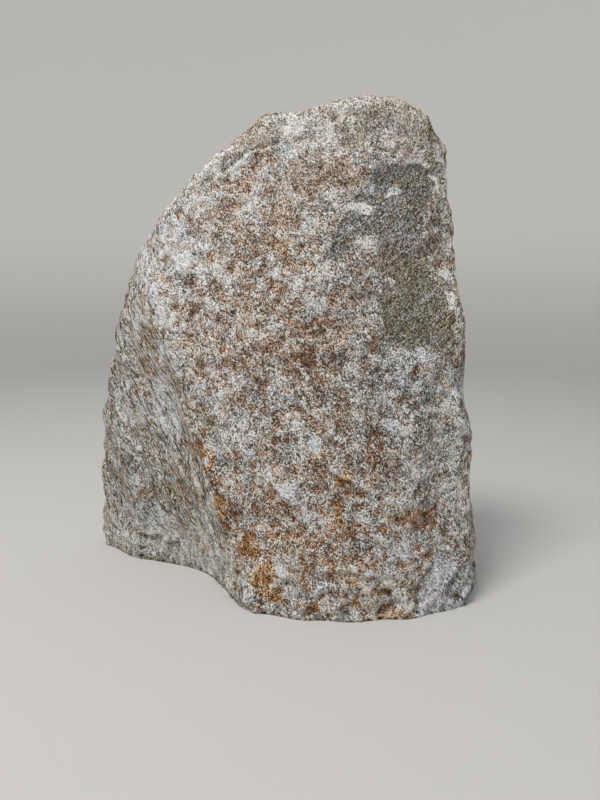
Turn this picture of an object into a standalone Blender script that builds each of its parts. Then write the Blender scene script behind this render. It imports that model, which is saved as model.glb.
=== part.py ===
"""An upright block of pale, rust-speckled, foliated stone.

The block stands on a flat base. Its broad front follows the foliation and leans back. The left flank is
broken across the foliation and scooped out at its foot. On the left the outline rises in an arc to a
rounded summit, right of the middle, and the right side is steep.

Units are metres, +Z is up and the front faces -Y. The origin is the middle of the underside's
bounding rectangle.
"""

import math
from collections import namedtuple

import bmesh
import bpy
from mathutils import Matrix, Vector, noise

# Driving dimensions
HEIGHT = 0.376
WIDTH = 0.330
DEPTH = 0.166
FRONT_LEAN = 12.5
FOLIATION_LEAN = 20.0
FOLIATION_HEADING = 265.0

# The front is one broad sheet with a slight bulge: a run of facets that touch a leaning round bar. Its
# middle and its foremost line are shares of the width and depth.
FRONT_RADIUS = 0.170
FRONT_HEADINGS = (255, 262, 270, 280, 290)
FRONT_MIDDLE = 0.190
FRONT_FOREMOST = -0.489

# The rough cube is larger than the block by this factor and reaches FOOT below its base
STOCK_ROOM = 1.3
FOOT = 0.012

# Fineness of the solid
VOXEL = 0.003
TRIANGLES = 10400
SHORTEST_EDGE = 0.0015
SNAP_TO_BASE = 0.0004
ROUNDING_PASSES = 14
SCOOP_SIDES = 64

STONE_COLOUR = (0.42, 0.36, 0.31, 1.0)
STONE_ROUGHNESS = 0.85

# Planes of the rough block. Each passes through a place given as shares of the width, depth and height
# from the middle of the base. It faces a compass heading, where 0 is the right, 90 the back, 180 the left
# and 270 the front, and looks up by its rise. Both are in degrees.
Facet = namedtuple("Facet", "name across deep high heading rise")
FACETS = (
    Facet("lower right corner", 0.420, -0.382, 0.00, 305, -4),
    Facet("left flank", -0.080, -0.322, 0.00, 229, 0.5),
    Facet("left flank, upper part", -0.297, 0.006, 0.540, 221, 12),
    Facet("left edge", -0.485, 0.295, 0.197, 186, -2),
    Facet("left edge, middle part", -0.426, 0.277, 0.452, 189, 11),
    Facet("left edge, upper part", -0.383, 0.255, 0.572, 188, 17),
    Facet("left back", -0.478, 0.400, 0.200, 152, 5),
    Facet("right side, front", 0.490, -0.187, 0.053, 341, 4.1),
    Facet("right side", 0.508, -0.078, 0.053, 4, 4.9),
    Facet("right back", 0.460, 0.300, 0.100, 36, 6),
    Facet("back", 0.050, 0.500, 0.100, 93, 2),
    Facet("back, upper part", 0.100, 0.440, 0.600, 85, 10),
    Facet("back, left shoulder", -0.300, 0.400, 0.580, 124, 17),
    Facet("arc, first step", -0.358, 0.227, 0.670, 185, 27),
    Facet("arc, second step", -0.250, 0.103, 0.797, 183, 38),
    Facet("arc, third step", -0.104, 0.103, 0.913, 182, 54),
    Facet("arc, fourth step", 0.091, 0.103, 0.992, 184, 80),
    Facet("summit", 0.239, 0.103, 1.004, 60, 87),
    Facet("right shoulder, first step", 0.322, 0.103, 0.992, 350, 67),
    Facet("right shoulder, second step", 0.390, 0.073, 0.958, 352, 45),
    Facet("right shoulder, third step", 0.428, -0.018, 0.895, 352, 18),
    Facet("crest, back slope", 0.200, 0.280, 0.930, 96, 42),
)

# The scoop at the foot of the left flank: a round bar pressed into it, whose axis leans to the left
SCOOP_RADIUS = 0.125
SCOOP_FLOOR = (-0.197, 0.024)
SCOOP_HEADING = 231
SCOOP_LEAN = 9
SCOOP_RUN_OUT = 4.2

# Relief of the surface: the size of one swell, how far it stands out, and a seed for its pattern
Relief = namedtuple("Relief", "size height seed")
RELIEFS = (Relief(0.085, 0.0030, 0.0), Relief(0.034, 0.0018, 1.7), Relief(0.014, 0.0008, 2.9))

# Shallow round pits, each as wide as this share of its cell. They crowd together in some areas only.
PIT_CELL = 0.024
PIT_SHARE = 0.55
PIT_DEPTH = 0.0016
PIT_AREA = Relief(0.110, 2.0, 4.3)

# Ledges where the surface cuts the foliation. The sharpness squares off their edges.
LEDGE_LENGTH = 0.070
LEDGE_THICKNESS = 0.0100
LEDGE_HEIGHT = 0.0022
LEDGE_SHARPNESS = 2.6
LEDGE_SEED = Vector((3.1, 7.7, 1.9))

# Bumps and hollows with a place of their own, as shares of the size as above
Spot = namedtuple("Spot", "name across deep high radius height")
SPOT_REACH = 2.5
SPOTS = (
    Spot("right edge, bump", 0.440, -0.078, 0.560, 0.024, 0.0025),
    Spot("right edge, upper hollow", 0.460, -0.125, 0.440, 0.026, -0.0030),
    Spot("right edge, lower bump", 0.470, -0.125, 0.355, 0.024, 0.0055),
    Spot("right edge, lower hollow", 0.480, -0.125, 0.225, 0.022, -0.0020),
    Spot("foot, first chip", 0.125, -0.487, 0.010, 0.011, -0.0045),
    Spot("foot, second chip", 0.255, -0.477, 0.020, 0.013, -0.0050),
    Spot("foot, third chip", 0.020, -0.458, 0.010, 0.010, -0.0035),
    Spot("arc, notch", -0.100, -0.030, 0.905, 0.011, -0.0050),
    Spot("arc, ledge above the notch", -0.020, -0.010, 0.965, 0.020, 0.0050),
)

# Scars where a sheet of the foliation scaled off, on the side that faces the given heading
Scar = namedtuple("Scar", "name heading across high half_width half_height depth")
SCARS = (
    Scar("upper right of the front", 270, 0.315, 0.680, 0.130, 0.205, 0.0026),
    Scar("upper left of the back", 90, -0.060, 0.640, 0.270, 0.300, 0.0060),
    Scar("lower right of the back", 90, 0.300, 0.100, 0.260, 0.280, 0.0045),
)
SCAR_EDGE = 0.16
SCAR_SQUARENESS = 3
SCAR_RAGGED = (Relief(0.060, 0.28, 9.1), Relief(0.024, 0.12, 5.3))


def clear_scene():
    for thing in list(bpy.data.objects):
        bpy.data.objects.remove(thing, do_unlink=True)


def facing(heading, rise):
    """The unit vector of a compass heading that looks up by rise, both in degrees."""
    turn = math.radians(heading)
    up = math.radians(rise)
    return Vector((math.cos(turn) * math.cos(up), math.sin(turn) * math.cos(up), math.sin(up)))


def place(across, deep, high):
    """A point from its shares of the width, depth and height."""
    return Vector((across * WIDTH, deep * DEPTH, high * HEIGHT))


def smooth_step(value):
    value = min(1.0, max(0.0, value))
    return value * value * (3.0 - 2.0 * value)


def front_facets():
    """The planes of the bulging front, each touching the leaning bar along its own heading."""
    middle = Vector((FRONT_MIDDLE * WIDTH, FRONT_FOREMOST * DEPTH + FRONT_RADIUS, 0))
    for heading in FRONT_HEADINGS:
        sideways = facing(heading, 0)
        rise = math.degrees(math.atan(-math.tan(math.radians(FRONT_LEAN)) * sideways.y))
        yield middle + FRONT_RADIUS * sideways, facing(heading, rise)


def rough_block():
    """The block as its facets cut it, standing FOOT deeper than its base."""
    mesh = bmesh.new()
    bmesh.ops.create_cube(mesh, size=1.0)
    stock = STOCK_ROOM * Vector((WIDTH, DEPTH, HEIGHT))
    bmesh.ops.scale(mesh, vec=stock, verts=mesh.verts)
    bmesh.ops.translate(mesh, vec=(0, 0, stock.z / 2 - FOOT), verts=mesh.verts)
    planes = list(front_facets())
    planes += [(place(f.across, f.deep, f.high), facing(f.heading, f.rise)) for f in FACETS]
    for point, outward in planes:
        cut = bmesh.ops.bisect_plane(
            mesh,
            geom=mesh.verts[:] + mesh.edges[:] + mesh.faces[:],
            plane_co=point,
            plane_no=outward,
            clear_outer=True,
        )
        rim = [item for item in cut["geom_cut"] if isinstance(item, bmesh.types.BMEdge)]
        if rim:
            bmesh.ops.edgeloop_fill(mesh, edges=rim)
    bmesh.ops.recalc_face_normals(mesh, faces=mesh.faces)
    return finished_object(mesh, "rough_block")


def finished_object(mesh, name):
    data = bpy.data.meshes.new(name)
    mesh.to_mesh(data)
    mesh.free()
    made = bpy.data.objects.new(name, data)
    bpy.context.scene.collection.objects.link(made)
    return made


def scoop_bar():
    """The round bar that the flank's hollow is cut with. It leans out of the flank as it rises."""
    outward = facing(SCOOP_HEADING, 0)
    along = facing(SCOOP_HEADING - 90, 0)
    lean = math.radians(SCOOP_LEAN)
    axis = (along * math.sin(lean) + Vector((0, 0, 1)) * math.cos(lean)).normalized()
    axis = Matrix.Rotation(-math.radians(SCOOP_RUN_OUT), 3, outward.cross(axis)) @ axis
    middle = place(*SCOOP_FLOOR, 0) + outward * SCOOP_RADIUS
    mesh = bmesh.new()
    bmesh.ops.create_cone(
        mesh,
        cap_ends=True,
        segments=SCOOP_SIDES,
        radius1=SCOOP_RADIUS,
        radius2=SCOOP_RADIUS,
        depth=4 * HEIGHT,
        matrix=Matrix.Translation(middle) @ axis.to_track_quat("Z", "Y").to_matrix().to_4x4(),
    )
    bar = finished_object(mesh, "scoop_bar")
    bar.hide_render = True
    bar.display_type = "WIRE"
    return bar


def add_even_faces(block):
    even = block.modifiers.new("even faces", "REMESH")
    even.mode = "VOXEL"
    even.voxel_size = VOXEL


def rounded(block, bar):
    """The block with the scoop cut, in small even faces, and its arrises worn round."""
    cut = block.modifiers.new("scoop", "BOOLEAN")
    cut.operation = "DIFFERENCE"
    cut.object = bar
    add_even_faces(block)
    wear = block.modifiers.new("worn arrises", "SMOOTH")
    wear.factor = 0.5
    wear.iterations = ROUNDING_PASSES
    return applied(block)


def applied(block):
    """The mesh that an object's modifiers make of it."""
    graph = bpy.context.evaluated_depsgraph_get()
    return bpy.data.meshes.new_from_object(block.evaluated_get(graph))


def swell(point, relief):
    """Even noise whose swells have the relief's size and height."""
    return relief.height * noise.noise(point / relief.size + relief.seed * Vector((1, 2, -1)))


def foliation_frame():
    """The foliation's normal, and a matrix to a frame whose third axis is that normal."""
    normal = facing(FOLIATION_HEADING, FOLIATION_LEAN)
    return normal, normal.to_track_quat("Z", "Y").to_matrix().transposed()


def ledges(point, into_foliation):
    """Uneven steps of the foliation, from -1 to 1, long in its plane and thin across it."""
    local = into_foliation @ point
    local.x /= LEDGE_LENGTH
    local.y /= LEDGE_LENGTH
    local.z /= LEDGE_THICKNESS
    wave = LEDGE_SHARPNESS * noise.noise(local + LEDGE_SEED)
    return max(-1.0, min(1.0, wave))


def pits(point):
    """Shallow round hollows, from 0 to 1, scattered where a slow noise allows them."""
    distances, _ = noise.voronoi(point / PIT_CELL)
    hollow = 1.0 - smooth_step(distances[0] / PIT_SHARE)
    return hollow * smooth_step(0.5 + swell(point, PIT_AREA))


def scar_depth(point, normal):
    """How deep the sheets that scaled off leave the surface at a point."""
    ragged = sum(swell(point, relief) for relief in SCAR_RAGGED)
    depth = 0.0
    for scar in SCARS:
        # nothing beyond about 80 degrees from the scar's heading, all of it within about 45 degrees
        turned_to = smooth_step(2.0 * normal.dot(facing(scar.heading, 0)) - 0.4)
        if turned_to > 0.0:
            across = abs(point.x / WIDTH - scar.across) / scar.half_width
            high = abs(point.z / HEIGHT - scar.high) / scar.half_height
            reach = (across ** SCAR_SQUARENESS + high ** SCAR_SQUARENESS) ** (1 / SCAR_SQUARENESS)
            depth += scar.depth * turned_to * smooth_step((1.0 - reach + ragged) / SCAR_EDGE)
    return depth


def weathered(mesh):
    """Moves every point of the surface along its normal by the relief."""
    foliation, into_foliation = foliation_frame()
    spots = [(place(s.across, s.deep, s.high), s.radius, s.height) for s in SPOTS]
    moved = []
    for vertex in mesh.vertices:
        point = vertex.co
        normal = vertex.normal
        across_foliation = 1.0 - normal.dot(foliation) ** 2
        rise = sum(swell(point, relief) for relief in RELIEFS)
        rise += LEDGE_HEIGHT * across_foliation * ledges(point, into_foliation)
        rise -= PIT_DEPTH * pits(point)
        rise -= scar_depth(point, normal)
        for middle, radius, height in spots:
            near = (point - middle).length / radius
            if near < SPOT_REACH:
                rise += height * math.exp(-near * near)
        moved.append(point + normal * rise)
    for vertex, point in zip(mesh.vertices, moved):
        vertex.co = point
    mesh.update()


def reduced(mesh):
    """The same surface in fewer, larger faces."""
    made = bpy.data.objects.new("reduced", mesh)
    bpy.context.scene.collection.objects.link(made)
    add_even_faces(made)
    fewer = made.modifiers.new("fewer faces", "DECIMATE")
    fewer.ratio = min(1.0, TRIANGLES / (2.0 * len(mesh.polygons)))
    fewer.use_collapse_triangulate = True
    return applied(made)


def stand_on_base(mesh):
    """Saws the underside flat, gives the block its exact size and moves its base's middle to the origin."""
    cut = bmesh.new()
    cut.from_mesh(mesh)
    sawn = bmesh.ops.bisect_plane(
        cut,
        geom=cut.verts[:] + cut.edges[:] + cut.faces[:],
        dist=SNAP_TO_BASE,
        plane_co=(0, 0, 0),
        plane_no=(0, 0, -1),
        use_snap_center=True,
        clear_outer=True,
    )
    rim = [item for item in sawn["geom_cut"] if isinstance(item, bmesh.types.BMEdge)]
    bmesh.ops.edgeloop_fill(cut, edges=rim)
    bmesh.ops.triangulate(cut, faces=cut.faces)
    bmesh.ops.remove_doubles(cut, verts=cut.verts, dist=SHORTEST_EDGE)
    bmesh.ops.dissolve_degenerate(cut, edges=cut.edges, dist=SHORTEST_EDGE / 2)
    low = Vector([min(v.co[axis] for v in cut.verts) for axis in range(3)])
    high = Vector([max(v.co[axis] for v in cut.verts) for axis in range(3)])
    for vertex in cut.verts:
        vertex.co.x = (vertex.co.x - (low.x + high.x) / 2) * WIDTH / (high.x - low.x)
        vertex.co.y = (vertex.co.y - (low.y + high.y) / 2) * DEPTH / (high.y - low.y)
        vertex.co.z = vertex.co.z * HEIGHT / high.z
    bmesh.ops.triangulate(cut, faces=cut.faces)
    bmesh.ops.recalc_face_normals(cut, faces=cut.faces)
    return finished_object(cut, "stone")


def stone_material():
    """Pale grey granular stone with a warm cast from its rust."""
    material = bpy.data.materials.new("weathered_stone")
    material.use_nodes = True
    shader = material.node_tree.nodes["Principled BSDF"]
    shader.inputs["Base Color"].default_value = STONE_COLOUR
    shader.inputs["Roughness"].default_value = STONE_ROUGHNESS
    shader.inputs["Metallic"].default_value = 0.0
    material.diffuse_color = STONE_COLOUR
    return material


def build():
    clear_scene()
    block = rough_block()
    bar = scoop_bar()
    mesh = rounded(block, bar)
    weathered(mesh)
    mesh = reduced(mesh)
    stone = stand_on_base(mesh)
    stone.data.materials.append(stone_material())
    stone.data.shade_smooth()
    for helper in list(bpy.data.objects):
        if helper is not stone:
            bpy.data.objects.remove(helper, do_unlink=True)


build()
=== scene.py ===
"""The looks of an upright block of pale, rust-speckled, foliated stone, built on its CAD frame."""

import math
from collections import namedtuple

import bpy
import numpy as np
from mathutils import Matrix, Vector, noise


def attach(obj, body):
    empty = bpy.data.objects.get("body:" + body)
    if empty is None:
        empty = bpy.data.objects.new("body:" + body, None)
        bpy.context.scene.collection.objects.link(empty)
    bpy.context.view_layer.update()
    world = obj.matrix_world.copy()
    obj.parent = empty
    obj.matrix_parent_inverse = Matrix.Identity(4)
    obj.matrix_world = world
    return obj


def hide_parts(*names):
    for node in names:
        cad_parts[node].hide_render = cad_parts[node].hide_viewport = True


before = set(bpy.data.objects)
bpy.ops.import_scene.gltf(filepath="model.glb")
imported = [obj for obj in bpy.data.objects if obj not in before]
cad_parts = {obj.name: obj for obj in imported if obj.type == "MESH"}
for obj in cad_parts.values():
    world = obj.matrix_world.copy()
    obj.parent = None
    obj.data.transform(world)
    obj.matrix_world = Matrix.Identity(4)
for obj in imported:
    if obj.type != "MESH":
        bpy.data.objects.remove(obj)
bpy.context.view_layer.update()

# The photograph's camera: its place in metres, its tilt in degrees, and its lens and sensor in mm.
# The long side of the picture takes the whole sensor.
CAMERA_PLACE = (0.020, -0.493, 0.2346)
CAMERA_DOWN = 10.07
CAMERA_LENS = 28.08
CAMERA_SENSOR = 36.0

# One soft lamp overhead, in metres and watts, and soft light from all round
LAMP_PLACE = (-0.38, -0.45, 1.45)
LAMP_TARGET = (0.0, 0.0, 0.20)
LAMP_SIZE = (0.5, 0.4)
LAMP_POWER = 13.5
LAMP_COLOUR = (1.0, 0.98, 0.955)
ROOM_COLOUR = (0.97, 0.98, 1.0, 1.0)
ROOM_STRENGTH = 0.45

# The stage: a round floor, the curve round its edge and the wall above it. Its middle is one flat face
# that reaches this share of the way out, and it is paler from this height up.
FLOOR_RADIUS = 1.5
FLOOR_MIDDLE = 0.8
FLOOR_CURVE = 0.5
FLOOR_SIDES = 96
CURVE_STEPS = 12
WALL_HEIGHT = 1.5
PALE_FROM = 0.5
FLOOR_COLOUR = (0.62, 0.612, 0.60, 1.0)
WALL_COLOUR = (0.90, 0.89, 0.87, 1.0)

# The foliation's normal: the compass heading it faces and how far it looks up. Its grains lie along
# a line that plunges to the right.
FOLIATION_HEADING = 265.0
FOLIATION_RISE = 20.0
PLUNGE = 62.0

VOXEL = 0.0020
SMOOTHING_PASSES = 14

# The flank faces this way and ends at this x.
FLANK_HEADING = 226.0
FLANK_RISE = 3.0
FLANK_END = -0.03

# Even noise: its middle, how far it swings, how far one swell reaches (in all, or along each axis) and
# a seed
Pattern = namedtuple("Pattern", "middle swing size seed")
SWELLS = (
    Pattern(0.0, 0.00070, 0.0190, 1.3),
    Pattern(0.0, 0.00048, 0.0095, 2.1),
    Pattern(0.0, 0.00050, 0.0048, 3.7),
)
LAYER_SWAY = tuple(Pattern(0.0, 0.005, 0.050, seed) for seed in (11.3, 12.9, 14.2))
RAGGED_X = (Pattern(0.0, 0.0035, 0.020, 21.7), Pattern(0.0, 0.0016, 0.007, 22.3))
RAGGED_Z = (Pattern(0.0, 0.0035, 0.020, 23.9), Pattern(0.0, 0.0016, 0.007, 24.6))
PITS = (Pattern(0.0, 1.0, 0.0075, 51.0), Pattern(0.0, 0.5, 0.0042, 52.0))
FLUTE_WANDER = Pattern(0.0, 3.0, (0.012, 0.012, 0.030), 31.0)
GROOVE_WANDER = Pattern(0.0, 3.0, 0.016, 35.0)
CHIPS = Pattern(0.0, 1.0, 0.0080, 34.0)
CHIPS_END = Pattern(0.0, 0.010, 0.026, 36.0)
CLEFT_COURSE = Pattern(0.0, 5.0, (0.0160, 0.0160, 0.0300), 33.0)
CLEFT_BREAKS = Pattern(0.60, 2.0, 0.0130, 38.0)
LEDGE_BREAKS = Pattern(0.70, 1.5, 0.0110, 37.0)
STAIN_BREAKS = Pattern(0.82, 1.3, 0.0090, 43.0)
CREAM_BREAKS = Pattern(0.80, 1.5, 0.0060, 44.0)
# The back isn't in the photograph. There each zone takes its share where a slow pattern is high.
BACK = {
    "rust": (0.60, Pattern(0.45, 1.2, 0.075, 41.0)),
    "orange": (0.50, Pattern(-0.60, 2.4, 0.130, 42.5)),
    "pale": (0.35, Pattern(0.30, -1.5, 0.075, 41.0)),
    "dark": (0.40, Pattern(-0.30, 2.0, 0.130, 42.5)),
}

# Layers of the foliation that stand out where the surface cuts them: length, thickness, height, seed
Layer = namedtuple("Layer", "length thickness height seed")
LAYERS = (
    Layer(0.045, 0.0060, 0.00130, 5.1),
    Layer(0.022, 0.0030, 0.00080, 6.4),
)
LAYER_STEEPNESS = 2.2

# The relief within the zones, and how far apart the grooves and the flutes are
SHOULDER_LIFT = 0.0013
PATCH_DEPTH = 0.0011
PIT_DEPTH = 0.0012
FACET_DEPTH = 0.0012
GROOVE_HEIGHT = 0.0008
GROOVE_SPACING = 0.0100
FLUTE_HEIGHT = 0.0009
FLUTE_SPACING = 0.0052
CHIPPED_DEPTH = 0.0014
CHIP_HEIGHT = 0.0024
CLEFT_DEPTH = 0.0036
CLEFT_WIDTH = 0.0028
# Round notches in the foot of the front
Notch = namedtuple("Notch", "x z radius depth")
NOTCHES = (
    Notch(0.052, 0.006, 0.0055, 0.0036),
    Notch(0.083, 0.004, 0.0070, 0.0036),
    Notch(0.024, 0.003, 0.0055, 0.0026),
)

# Lines on the front and the flank, as places (x, z) in metres
CREASE = ((-0.057, 0.315), (-0.048, 0.319), (-0.038, 0.325), (-0.030, 0.330), (-0.022, 0.336),
          (-0.012, 0.340), (0.003, 0.343))
OLIVE_PATCH = (
    (0.077, 0.322), (0.068, 0.311), (0.057, 0.296), (0.051, 0.283), (0.043, 0.267), (0.039, 0.257),
    (0.049, 0.254), (0.056, 0.262), (0.060, 0.273), (0.072, 0.275), (0.081, 0.269), (0.078, 0.262),
    (0.077, 0.250), (0.088, 0.241), (0.079, 0.236), (0.081, 0.225), (0.079, 0.215), (0.081, 0.205),
    (0.079, 0.194), (0.108, 0.193), (0.126, 0.187), (0.138, 0.198), (0.133, 0.222), (0.126, 0.237),
    (0.116, 0.249), (0.113, 0.258), (0.110, 0.271), (0.113, 0.284), (0.119, 0.297), (0.124, 0.309),
    (0.119, 0.321), (0.104, 0.326), (0.088, 0.325),
)
LOWER_FACET = (
    (0.102, -0.010), (0.107, 0.011), (0.111, 0.023), (0.120, 0.032), (0.131, 0.037), (0.141, 0.034),
    (0.150, 0.028), (0.180, 0.026), (0.180, -0.010),
)
SUMMIT_X = 0.076
SUMMIT_LIFT = 0.0030
SUMMIT_WIDTH = 0.030
MIDDLE_STEP = ((0.041, 0.262), (0.037, 0.240), (0.032, 0.212), (0.034, 0.182))
WHITE_STREAKS = (
    ((0.117, 0.318), (0.126, 0.316), (0.130, 0.308), (0.133, 0.300)),
    ((0.084, 0.326), (0.098, 0.328), (0.112, 0.327)),
    ((0.124, 0.343), (0.127, 0.332), (0.132, 0.323)),
)
CREAM_STREAKS = (
    ((0.071, 0.295), (0.082, 0.301), (0.096, 0.309)),
    ((0.045, 0.302), (0.058, 0.307), (0.069, 0.311)),
    ((0.083, 0.236), (0.091, 0.241)),
    ((0.014, 0.037), (0.040, 0.038), (0.062, 0.036), (0.074, 0.034)),
)
# Brownish bands that slant across the lower right facet and its edge
FACET_BANDS = (
    ((0.141, 0.030), (0.131, 0.017), (0.125, 0.010)),
    ((0.104, 0.004), (0.107, 0.014), (0.111, 0.025), (0.119, 0.034)),
    ((0.131, 0.012), (0.138, 0.010)),
)
# Edges that stand proud, with a painted highlight along them over a cream tint, and painted shade over
# the rust on the bed just below them
LEDGES = (
    ((0.014, 0.036), (0.034, 0.035), (0.052, 0.039), (0.066, 0.036), (0.079, 0.031)),
    ((0.038, 0.112), (0.056, 0.098), (0.071, 0.091), (0.095, 0.080)),
    ((0.016, 0.155), (0.038, 0.138), (0.057, 0.122)),
)
EDGE_GROOVES = (
    ((-0.157, 0.120), (-0.146, 0.135), (-0.137, 0.156)),
    ((-0.157, 0.115), (-0.147, 0.098), (-0.139, 0.077)),
    ((-0.160, 0.081), (-0.150, 0.065), (-0.144, 0.048)),
)
# Small overhangs at the foot of the flank, with a painted highlight on their edges and painted shade
# below them
FOOT_CRACKS = (((-0.117, 0.025), (-0.104, 0.027)), ((-0.096, 0.022), (-0.085, 0.025)))
# Clefts between the chips along the foot of the front
FOOT_CLEFTS = (
    ((0.034, 0.017), (0.029, 0.009), (0.022, 0.002)),
    ((0.062, 0.014), (0.056, 0.008), (0.052, 0.002)),
    ((0.088, 0.011), (0.082, 0.007), (0.079, 0.001)),
    ((0.078, 0.028), (0.074, 0.020)),
    ((0.009, 0.022), (0.002, 0.014)),
)
RIDGE_STAIN = ((-0.053, 0.124), (-0.047, 0.101), (-0.041, 0.080), (-0.034, 0.060))

# What follows the lines: how far it stands out (below zero it is sunk) or how strong its tint is, how
# wide it is, how far below its line it lies, and whether its course is ragged
Trace = namedtuple("Trace", "lines amount width below ragged")
RELIEF_TRACES = (
    Trace((CREASE,), -0.0017, 0.0015, 0.0, False),
    Trace((CREASE,), 0.0011, 0.0025, 0.0040, False),
    Trace((MIDDLE_STEP,), -0.0010, 0.0022, 0.0, True),
    Trace(EDGE_GROOVES, -0.0011, 0.0022, 0.0, True),
    Trace(FOOT_CRACKS, 0.0016, 0.0024, 0.0, False),
    Trace(FOOT_CRACKS, -0.0022, 0.0030, 0.0050, False),
    Trace(FACET_BANDS, -0.0019, 0.0020, 0.0, False),
)
LEDGE_TRACES = (
    Trace(LEDGES, 0.0016, 0.0026, 0.0, True),
    Trace(LEDGES, -0.0010, 0.0040, 0.0050, True),
)
TINT_TRACES = (
    ("pale", Trace((CREASE,), 0.60, 0.0024, 0.0040, False)),
    # Painted shade along the crease and the middle step
    ("dark", Trace((CREASE,), 0.75, 0.0015, 0.0, False)),
    ("dark", Trace((MIDDLE_STEP,), 0.375, 0.0018, 0.0, True)),
    # Painted highlight along the ledges over cream, and painted shade below them where there is real
    # rust too
    ("pale", Trace(LEDGES, 0.80, 0.0018, 0.0, True)),
    ("dark", Trace(LEDGES, 0.25, 0.0032, 0.0050, True)),
    ("rust", Trace(LEDGES, 0.90, 0.0032, 0.0050, True)),
    ("orange", Trace(CREAM_STREAKS, 0.45, 0.0044, 0.0, False)),
    # Painted highlight on the edges of the foot cracks, and painted shade below them
    ("pale", Trace(FOOT_CRACKS, 1.00, 0.0022, 0.0, False)),
    ("dark", Trace(FOOT_CRACKS, 0.90, 0.0026, 0.0045, False)),
    ("dark", Trace(FACET_BANDS, 0.72, 0.0024, 0.0, False)),
    ("orange", Trace(FACET_BANDS, 0.58, 0.0024, 0.0, False)),
)
WHITE_TRACE = Trace(WHITE_STREAKS, 0.95, 0.0020, 0.0, True)
CREAM_TRACE = Trace(CREAM_STREAKS, 0.84, 0.0044, 0.0, False)
STAIN_TRACE = Trace((RIDGE_STAIN,), 1.00, 0.0080, 0.0, True)
# Where the painted shade of the crease and the middle step lies, rust is taken out
CREASE_SHADE_TRACES = (
    Trace((CREASE,), 0.80, 0.0015, 0.0, False),
    Trace((MIDDLE_STEP,), 0.40, 0.0018, 0.0, True),
)

# Patches that show in the photograph, with the place of the middle and half the size. Most are the
# stone's own colour; some pale and dark ones are painted light and painted shade, as marked.
Mark = namedtuple("Mark", "x z across high amount")
RUST = (
    Mark(-0.005, 0.250, 0.062, 0.100, 0.42),
    Mark(-0.045, 0.185, 0.045, 0.045, 0.40),
    Mark(0.026, 0.178, 0.025, 0.040, 0.42),
    Mark(0.030, 0.110, 0.060, 0.060, 0.22),
    Mark(-0.045, 0.300, 0.022, 0.022, 0.50),
    Mark(-0.018, 0.317, 0.013, 0.012, 0.60),
    Mark(0.008, 0.289, 0.009, 0.016, 0.70),
    Mark(0.050, 0.322, 0.018, 0.014, 0.50),
    Mark(-0.054, 0.170, 0.014, 0.008, 0.80),
    Mark(0.060, 0.030, 0.070, 0.030, 0.45),
    Mark(0.088, 0.003, 0.010, 0.006, 0.90),
    Mark(0.105, 0.072, 0.022, 0.014, 0.55),
    Mark(0.116, 0.071, 0.010, 0.009, 0.50),
    Mark(0.126, 0.270, 0.006, 0.008, 0.80),
    Mark(0.127, 0.252, 0.005, 0.007, 0.75),
    Mark(0.053, 0.046, 0.004, 0.008, 1.00),
    Mark(0.000, 0.060, 0.045, 0.045, 0.45),
    Mark(-0.108, 0.180, 0.009, 0.050, 0.85),
    Mark(0.074, 0.110, 0.014, 0.010, 0.50),
    Mark(0.084, 0.085, 0.010, 0.010, 0.55),
    Mark(0.085, 0.058, 0.009, 0.008, 0.50),
    Mark(-0.020, 0.348, 0.026, 0.010, 0.60),
    Mark(0.042, 0.316, 0.018, 0.015, 0.62),
    Mark(-0.068, 0.062, 0.010, 0.028, 0.35),
    Mark(-0.064, 0.128, 0.012, 0.026, 0.72),
    Mark(-0.064, 0.221, 0.010, 0.008, 0.52),
    Mark(0.031, 0.110, 0.011, 0.012, 0.58),
    Mark(0.062, 0.056, 0.016, 0.010, 0.56),
    Mark(-0.086, 0.228, 0.026, 0.044, 0.32),
    Mark(-0.072, 0.272, 0.022, 0.026, 0.36),
)
# Where the rust is thinner than around it
BARE = (
    Mark(0.050, 0.203, 0.018, 0.014, 0.25),
    Mark(-0.025, 0.203, 0.012, 0.012, 0.35),
    Mark(0.118, 0.140, 0.016, 0.040, 0.30),
)
ORANGE = (
    Mark(0.010, 0.265, 0.005, 0.012, 0.55),
    Mark(-0.017, 0.049, 0.008, 0.010, 0.95),
    Mark(-0.008, 0.028, 0.011, 0.013, 0.95),
    Mark(0.000, 0.015, 0.010, 0.007, 0.85),
    Mark(0.029, 0.009, 0.007, 0.006, 0.90),
    Mark(0.052, 0.101, 0.007, 0.006, 0.95),
    Mark(0.047, 0.076, 0.004, 0.012, 1.00),
    Mark(0.058, 0.028, 0.005, 0.003, 0.95),
    Mark(0.055, 0.088, 0.005, 0.005, 0.70),
    Mark(0.053, 0.047, 0.003, 0.007, 0.80),
    Mark(0.125, 0.071, 0.006, 0.006, 0.40),
    Mark(-0.116, 0.143, 0.008, 0.016, 0.50),
    Mark(0.056, 0.028, 0.005, 0.003, 0.95),
    Mark(0.079, 0.024, 0.004, 0.004, 0.80),
    Mark(0.038, 0.003, 0.011, 0.004, 0.75),
    Mark(-0.076, 0.029, 0.010, 0.006, 0.50),
)
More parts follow.
